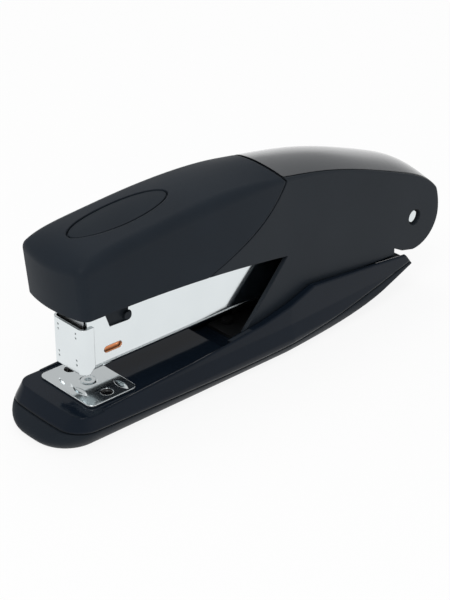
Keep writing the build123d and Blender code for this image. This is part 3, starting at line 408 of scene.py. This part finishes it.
def enclosed(points, faces):
    """The volume inside four-sided faces: a sixth of the triple products of their triangles."""
    a, b, c, d = (points[faces[:, corner]] for corner in range(4))
    halves = np.einsum("ij,ij->i", a, np.cross(b, c)) + np.einsum("ij,ij->i", a, np.cross(c, d))
    return halves.sum() / 6


def skin(name, rings, joined=False):
    """A closed mesh over an array of rings, of shape (rings, points in a ring, 3), in metres."""
    count, size = rings.shape[:2]
    points = rings.reshape(-1, 3)
    faces = ring_faces(count, size, joined)
    outwards = enclosed(points - points.mean(axis=0), faces) > 0
    faces = faces if outwards else faces[:, ::-1]
    polygons = faces.tolist()
    if not joined:
        first, last = list(range(size)), list(range((count - 1) * size, count * size))
        polygons += [first[::-1], last] if outwards else [first, last[::-1]]
    mesh = bpy.data.meshes.new(name)
    mesh.from_pydata(points.tolist(), [], polygons)
    mesh.polygons.foreach_set("use_smooth", np.full(len(polygons), True))
    mesh.update()
    piece = bpy.data.objects.new(name, mesh)
    bpy.context.scene.collection.objects.link(piece)
    print(name, len(polygons), "faces")
    return piece


def stand_for(piece, node, body, material):
    """A piece takes a CAD node's place: it rides on its body, in its finish, and the solid is hidden."""
    piece.data.materials.append(material)
    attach(piece, body)
    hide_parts(node)


# %% [markdown]
# ## Wire springs
# A coil spring is a round wire carried along a helix. Real compression springs end in a dead turn that lies
# almost flat, so that they stand square. The rise is therefore eased at both ends by blending a straight
# rise with a smooth step. The wire's ring is set across it with the outward direction and the helix's
# binormal. The long feed spring is wound evenly.


# %% Wire springs
TURN_STEPS, WIRE_SIDES = 36, 12


def helix_rings(outer, wire, length, turns, flat_share=0.5):
    """Rings of a coil about +Z from z = 0.

    Along s in [0, 1] the middle of the wire is (R cos t, R sin t, wire/2 + (length - wire) h(s)) with
    t = 2 pi turns s, where h blends a straight rise with the smooth step 3s^2 - 2s^3, so that the end turns
    lie flatter. Each ring is middle + wire/2 (cos p outward + sin p binormal).
    """
    radius = (outer - wire) / 2
    s = np.linspace(0, 1, TURN_STEPS * turns + 1)
    turn = 2 * np.pi * turns * s
    rise = (1 - flat_share) * s + flat_share * s * s * (3 - 2 * s)
    height = wire / 2 + (length - wire) * rise
    middle = np.stack([radius * np.cos(turn), radius * np.sin(turn), height], axis=1)
    heading = np.gradient(middle, axis=0)
    heading /= np.linalg.norm(heading, axis=1, keepdims=True)
    outward = np.stack([np.cos(turn), np.sin(turn), 0 * turn], axis=1)
    binormal = np.cross(heading, outward)
    p = np.linspace(0, 2 * np.pi, WIRE_SIDES, endpoint=False)[None, :, None]
    return middle[:, None] + wire / 2 * (np.cos(p) * outward[:, None] + np.sin(p) * binormal[:, None])


def lying(rings, place):
    """A coil turned to run along +X from a place: (x, y, z) becomes (z, y, -x)."""
    return np.stack([rings[..., 2], rings[..., 1], -rings[..., 0]], axis=-1) + np.array(place)


# %% Springs in the handle, the base and the magazine
HANDLE_COIL = dict(outer=8.0 * MM, wire=0.9 * MM, turns=7)
ANVIL_COIL = dict(outer=6.2 * MM, wire=0.6 * MM, turns=3)
FEED_COIL = dict(outer=4.2 * MM, wire=0.5 * MM, turns=26, flat_share=0.0)
steel = finishes["steel"]


def coil_room(node):
    """The middle of a CAD spring's box, its low corner and its high corner."""
    low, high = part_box(node)
    return (low + high) / 2, low, high


def upright_coil(name, node, form):
    """A coil that stands in a CAD spring's box, from its foot to its top."""
    middle, low, high = coil_room(node)
    return skin(name, helix_rings(length=high.z - low.z, **form) + np.array((middle.x, middle.y, low.z)))


handle_coil = upright_coil("handle_coil", "handle_spring", HANDLE_COIL)
stand_for(handle_coil, "handle_spring", "magazine", steel)

anvil_coil = upright_coil("anvil_coil", "anvil_spring", ANVIL_COIL)
stand_for(anvil_coil, "anvil_spring", "base", steel)
middle, low, high = coil_room("anvil_spring")
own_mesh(anvil_coil)

middle, low, high = coil_room("pusher_spring")
feed_length = high.x - low.x
feed_rings = helix_rings(length=feed_length, **FEED_COIL)
feed_coil = skin("feed_coil", lying(feed_rings, (low.x, middle.y, middle.z)))
stand_for(feed_coil, "pusher_spring", "magazine", steel)
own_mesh(feed_coil)

# %% [markdown]
# ## The strip of staples
# Staples come glued side by side, so the strip is a long inverted U whose skin is a row of rounded wires.
# One closed loop round the U is carried along the strip, and at every place it is drawn in by the groove
# between two wires: none at the middle of a wire, most where two wires meet.

# %% Staple strip
STAPLE_PITCH, STAPLE_WIRE, STAPLE_CORNER = 0.52 * MM, 0.5 * MM, 0.55 * MM
GROOVE_SHARE, WIRE_ACROSS = 0.2, np.array([-0.98, -0.7, 0.0, 0.7, 0.98])


def bent_path(half_width, top, bottom, corner, arc_steps=6):
    """An inverted U in (y, z), from the left foot over two round corners to the right foot."""
    arc = np.linspace(0, np.pi / 2, arc_steps)
    left = np.stack([-half_width + corner * (1 - np.cos(arc)), top - corner * (1 - np.sin(arc))], axis=1)
    right = np.stack([-left[::-1, 0], left[::-1, 1]], axis=1)
    feet = np.array([[-half_width, bottom], [half_width, bottom]])
    return np.concatenate([feet[:1], left, right, feet[1:]])


def staple_rings(low, high):
    """Rings along the strip: the loop shrinks about the wire's middle by a share of 1 - sqrt(1 - u^2).

    u runs almost from -1 to 1 across each staple, so the skin is full at the middle of a wire and drawn in
    most beside the next wire.
    """
    half_width = (high.y - low.y) / 2
    in_by = STAPLE_WIRE / 2
    outer = bent_path(half_width, high.z, low.z, STAPLE_CORNER)
    core = bent_path(half_width - in_by, high.z - in_by, low.z, STAPLE_CORNER - in_by)
    inner = 2 * core - outer
    loop, spine = np.concatenate([outer, inner[::-1]]), np.concatenate([core, core[::-1]])
    count = int((high.x - low.x) / STAPLE_PITCH)
    x = (low.x + STAPLE_PITCH * (np.arange(count)[:, None] + 0.5 + WIRE_ACROSS[None, :] / 2)).reshape(-1)
    draw_in = np.tile(GROOVE_SHARE * (1 - np.sqrt(1 - WIRE_ACROSS ** 2)), count)[:, None, None]
    section = spine + (loop - spine) * (1 - draw_in)
    along = np.broadcast_to(x[:, None, None], section.shape[:2] + (1,))
    return np.concatenate([along, section], axis=2)


staples = skin("staples", staple_rings(*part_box("staple_strip")))
stand_for(staples, "staple_strip", "magazine", finishes["copper_wire"])

# %% [markdown]
# ## The anvil
# The anvil turns the legs of a staple in two scooped grooves. Flat-bottomed slots look wrong in plating,
# because plating shows every curve, so the top is a height field: lens-shaped scoops for clinching in front
# and for pinning behind, two round holes, and a narrow ring round the head of the stem. It is laid out about
# the stem with one ring for each angle, which runs from the stem's hole across the top, down the edge of the
# rounded rectangle and back underneath.

# %% Anvil
STEM_HOLE_R, ANVIL_CORNER_R, ANVIL_EDGE_R = 1.65 * MM, 2.5 * MM, 0.25 * MM
STEM_RING_R, STEM_RING_HALF_W, STEM_RING_DEPTH = 2.75 * MM, 0.3 * MM, 0.3 * MM
SCOOP_HALF_L, SCOOP_HALF_W, SCOOP_DEPTH = 3.8 * MM, 1.25 * MM, 0.85 * MM
SCOOP_X, CLINCH_Y, PINNING_Y = 6.4 * MM, 3.8 * MM, 9.2 * MM
PIERCE_R, PIERCE_Y, PIERCE_DEPTH, PIERCE_LIP = 2.15 * MM, 9.8 * MM, 0.9 * MM, 0.25 * MM
ANVIL_ANGLES, ANVIL_RADII, EDGE_STEPS = 540, 80, 4
LEAST_COSINE, LEAST_SHARE = 1e-9, 1e-6
anvil_low, anvil_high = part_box("anvil_plate")
anvil_middle = (anvil_low + anvil_high) / 2


def plate_reach(angle, half_x, half_y, corner):
    """Distance from the middle to the edge of a rounded rectangle.

    It is where the ray meets the nearer straight side, or, past the ends of both sides, the far root of the
    ray against the corner's circle.
    """
    c, s = np.abs(np.cos(angle)), np.abs(np.sin(angle))
    straight = np.minimum(half_x / np.maximum(c, LEAST_COSINE), half_y / np.maximum(s, LEAST_COSINE))
    a, b = half_x - corner, half_y - corner
    along = a * c + b * s
    round_reach = along + np.sqrt(np.maximum(along ** 2 - (a * a + b * b - corner * corner), 0))
    in_corner = (straight * c > a) & (straight * s > b)
    return np.where(in_corner, round_reach, straight)


def scoop_depth(x, y, centre_x, centre_y):
    """A lens along y: half width w = W (1 - (y/L)^2), and depth D (1 - (x/w)^2) w/W inside it."""
    share = np.maximum(1 - ((y - centre_y) / SCOOP_HALF_L) ** 2, LEAST_SHARE)
    inside = np.maximum(1 - ((x - centre_x) / (SCOOP_HALF_W * share)) ** 2, 0)
    return SCOOP_DEPTH * inside * share


def pierce_depth(x, y, centre_y):
    """A round hole with a narrow sloping lip."""
    beyond = np.hypot(x, y - centre_y) - PIERCE_R
    return PIERCE_DEPTH * np.clip(-beyond / PIERCE_LIP, 0, 1)


def anvil_rings():
    """One ring for each angle: across the top, round the edge, and back under the plate to the stem hole."""
    angle = np.linspace(0, 2 * np.pi, ANVIL_ANGLES, endpoint=False)
    half_x, half_y = (anvil_high.x - anvil_low.x) / 2, (anvil_high.y - anvil_low.y) / 2
    reach = plate_reach(angle, half_x, half_y, ANVIL_CORNER_R)[:, None]
    share = np.linspace(0, 1, ANVIL_RADII)[None, :]
    top_r = STEM_HOLE_R + (reach - ANVIL_EDGE_R - STEM_HOLE_R) * share
    x, y = top_r * np.cos(angle)[:, None], top_r * np.sin(angle)[:, None]
    depth = sum(scoop_depth(x, y, -SCOOP_X, side * CLINCH_Y) for side in (-1, 1))
    depth = depth + sum(scoop_depth(x, y, SCOOP_X, side * PINNING_Y) for side in (-1, 1))
    depth = np.maximum(depth, sum(pierce_depth(x, y, side * PIERCE_Y) for side in (-1, 1)))
    depth = np.maximum(depth, STEM_RING_DEPTH * (1 - ((top_r - STEM_RING_R) / STEM_RING_HALF_W) ** 2))
    turn = np.linspace(0, np.pi / 2, EDGE_STEPS)[None, 1:]
    edge_r = reach - ANVIL_EDGE_R * (1 - np.sin(turn))
    edge_drop = np.broadcast_to(ANVIL_EDGE_R * (1 - np.cos(turn)), edge_r.shape)
    thick = anvil_high.z - anvil_low.z
    under_r = np.concatenate([reach, np.full_like(reach, STEM_HOLE_R)], axis=1)
    radius = np.concatenate([top_r, edge_r, under_r], axis=1)
    drop = np.concatenate([depth, edge_drop, np.full_like(under_r, thick)], axis=1)
    return np.stack([
        anvil_middle.x + radius * np.cos(angle)[:, None],
        anvil_middle.y + radius * np.sin(angle)[:, None],
        anvil_high.z - drop,
    ], axis=2)


def pierced_hole_shade(finish):
    """A mask for painted shade, 1 in the two round holes: inside their radius, measured on object
    coordinates.
    """
    x, y = finish.axes(finish.place)[:2]
    off_x, off_y = x - anvil_middle.x, abs(y) - PIERCE_Y
    return off_x * off_x + off_y * off_y < PIERCE_R * PIERCE_R


anvil = skin("anvil", anvil_rings(), joined=True)
# The two round holes get painted shade on their floors through this mask
stand_for(anvil, "anvil_plate", "anvil", bright_plating("anvil_plating", pierced_hole_shade))

# %% [markdown]
# ## Painted shade for the dimples in the nose plate
# Small punch marks hold the nose plate to the magazine. They are less than a millimetre wide, so light hardly
# reaches their floors, and here they are painted shade: eight near-black dots in the plating's colour, with
# no metal. Folding the coordinates with `abs` brings all eight onto one place, so that a single distance
# makes the mask.

# %% Painted shade for the dimples in the nose plate
DIMPLE_Y, DIMPLE_HALF_RISE, DIMPLE_HALF_PITCH, DIMPLE_R = 4.6 * MM, 5.0 * MM, 0.85 * MM, 0.36 * MM
DIMPLE_MID_Z = 29.2 * MM


def dimple_shade(finish):
    """A mask for painted shade, 1 in the eight punch marks: the distance from one of them, on folded
    coordinates.
    """
    y, z = finish.axes(finish.place)[1:]
    off_y = abs(y) - DIMPLE_Y
    off_z = abs(abs(z - DIMPLE_MID_Z) - DIMPLE_HALF_RISE) - DIMPLE_HALF_PITCH
    return off_y * off_y + off_z * off_z < DIMPLE_R * DIMPLE_R


# The nose plate's plating gets painted shade, near-black dots where the punch marks are
nodes["nose_plate"].material_slots[0].material = bright_plating("nose_plating", dimple_shade)

# %% [markdown]
# ## Floor, world and lamps
# The background is white. The floor is plain white to rays from the camera and to reflections, but part of
# its white is real reflected light and keeps the soft shadow. In a studio the white sweep ends a little
# above the table and the room over it is dimmer, so reflections see white up to a low height and a greyer
# room above it. Large lamps over the front and the back model the shapes.

# %% Floor and world
FLOOR_HALF, FLOOR_DROP = 3.0, 0.2 * MM
FLOOR_WHITE, FLOOR_DUST, FLOOR_GLOW = 0.92, 0.01, 0.88
ROOM_LIGHT, UPPER_ROOM = 0.62, 0.6
SWEEP_END, ROOM_START = 0.12, 0.36

floor_mesh = bpy.data.meshes.new("floor")
corners = FLOOR_HALF * np.array([[-1, -1, 0], [1, -1, 0], [1, 1, 0], [-1, 1, 0]]) - [0, 0, FLOOR_DROP]
floor_mesh.from_pydata(corners.tolist(), [], [[0, 1, 2, 3]])
floor = bpy.data.objects.new("floor", floor_mesh)
bpy.context.scene.collection.objects.link(floor)


def ray_kinds(graph):
    """Two amounts: 1 for camera rays, and 1 for mirror rays."""
    rays = graph.node("ShaderNodeLightPath", {}, {}).outputs
    return Amount(graph, rays["Is Camera Ray"]), Amount(graph, rays["Is Glossy Ray"])


white_floor = Finish("white_floor")
dust = white_floor.grain(lumps=12.0)
white_floor.paint(
    Base_Color=white_floor.greys(dust, dark=FLOOR_WHITE - FLOOR_DUST, light=FLOOR_WHITE),
    Roughness=0.9,
    Specular_IOR_Level=0.0,
)
from_camera, from_mirror = ray_kinds(white_floor)
glow = white_floor.node("ShaderNodeEmission", {}, {"Color": shade(1.0), "Strength": 1.0})
blend = white_floor.node(
    "ShaderNodeMixShader", {},
    {0: FLOOR_GLOW * (from_camera + from_mirror), 1: white_floor.shader.outputs[0], 2: glow.outputs[0]},
)
white_floor.fill(white_floor.tree.nodes["Material Output"], {"Surface": blend.outputs[0]})
floor_mesh.materials.append(white_floor.material)

world = bpy.data.worlds.new("white_room")
bpy.context.scene.world = world
world.use_nodes = True
room = Graph(world.node_tree)
from_camera, from_mirror = ray_kinds(room)
heading = room.node("ShaderNodeTexCoord", {}, {}).outputs["Generated"]
sweep = room.node(
    "ShaderNodeMapRange", {"interpolation_type": "SMOOTHSTEP"},
    {
        "Value": room.axes(heading)[2], "From Min": SWEEP_END, "From Max": ROOM_START,
        "To Min": 1.0, "To Max": UPPER_ROOM,
    },
).outputs[0]
unseen = from_mirror * Amount(room, sweep) + (1 - from_mirror) * ROOM_LIGHT
room.fill(room.tree.nodes["Background"], {
    "Color": shade(1.0), "Strength": from_camera + (1 - from_camera) * unseen,
})

# %% Lamps
# Each lamp's place, its width in metres and its watts
LAMPS = {
    "front_lamp": ((-0.6, -0.5, 1.0), 0.6, 5.0),
    "back_lamp": ((0.35, 0.45, 1.25), 0.6, 3.0),
}
AIM = Vector((0.0, 0.0, 0.03))
for lamp_name, (place, width, watts) in LAMPS.items():
    lamp = bpy.data.objects.new(lamp_name, bpy.data.lights.new(lamp_name, "AREA"))
    bpy.context.scene.collection.objects.link(lamp)
    lamp.data.size, lamp.data.energy = width, watts
    lamp.location = place
    lamp.rotation_mode = "QUATERNION"
    lamp.rotation_quaternion = (AIM - lamp.location).to_track_quat("-Z", "Y")
print("lamps", list(LAMPS))
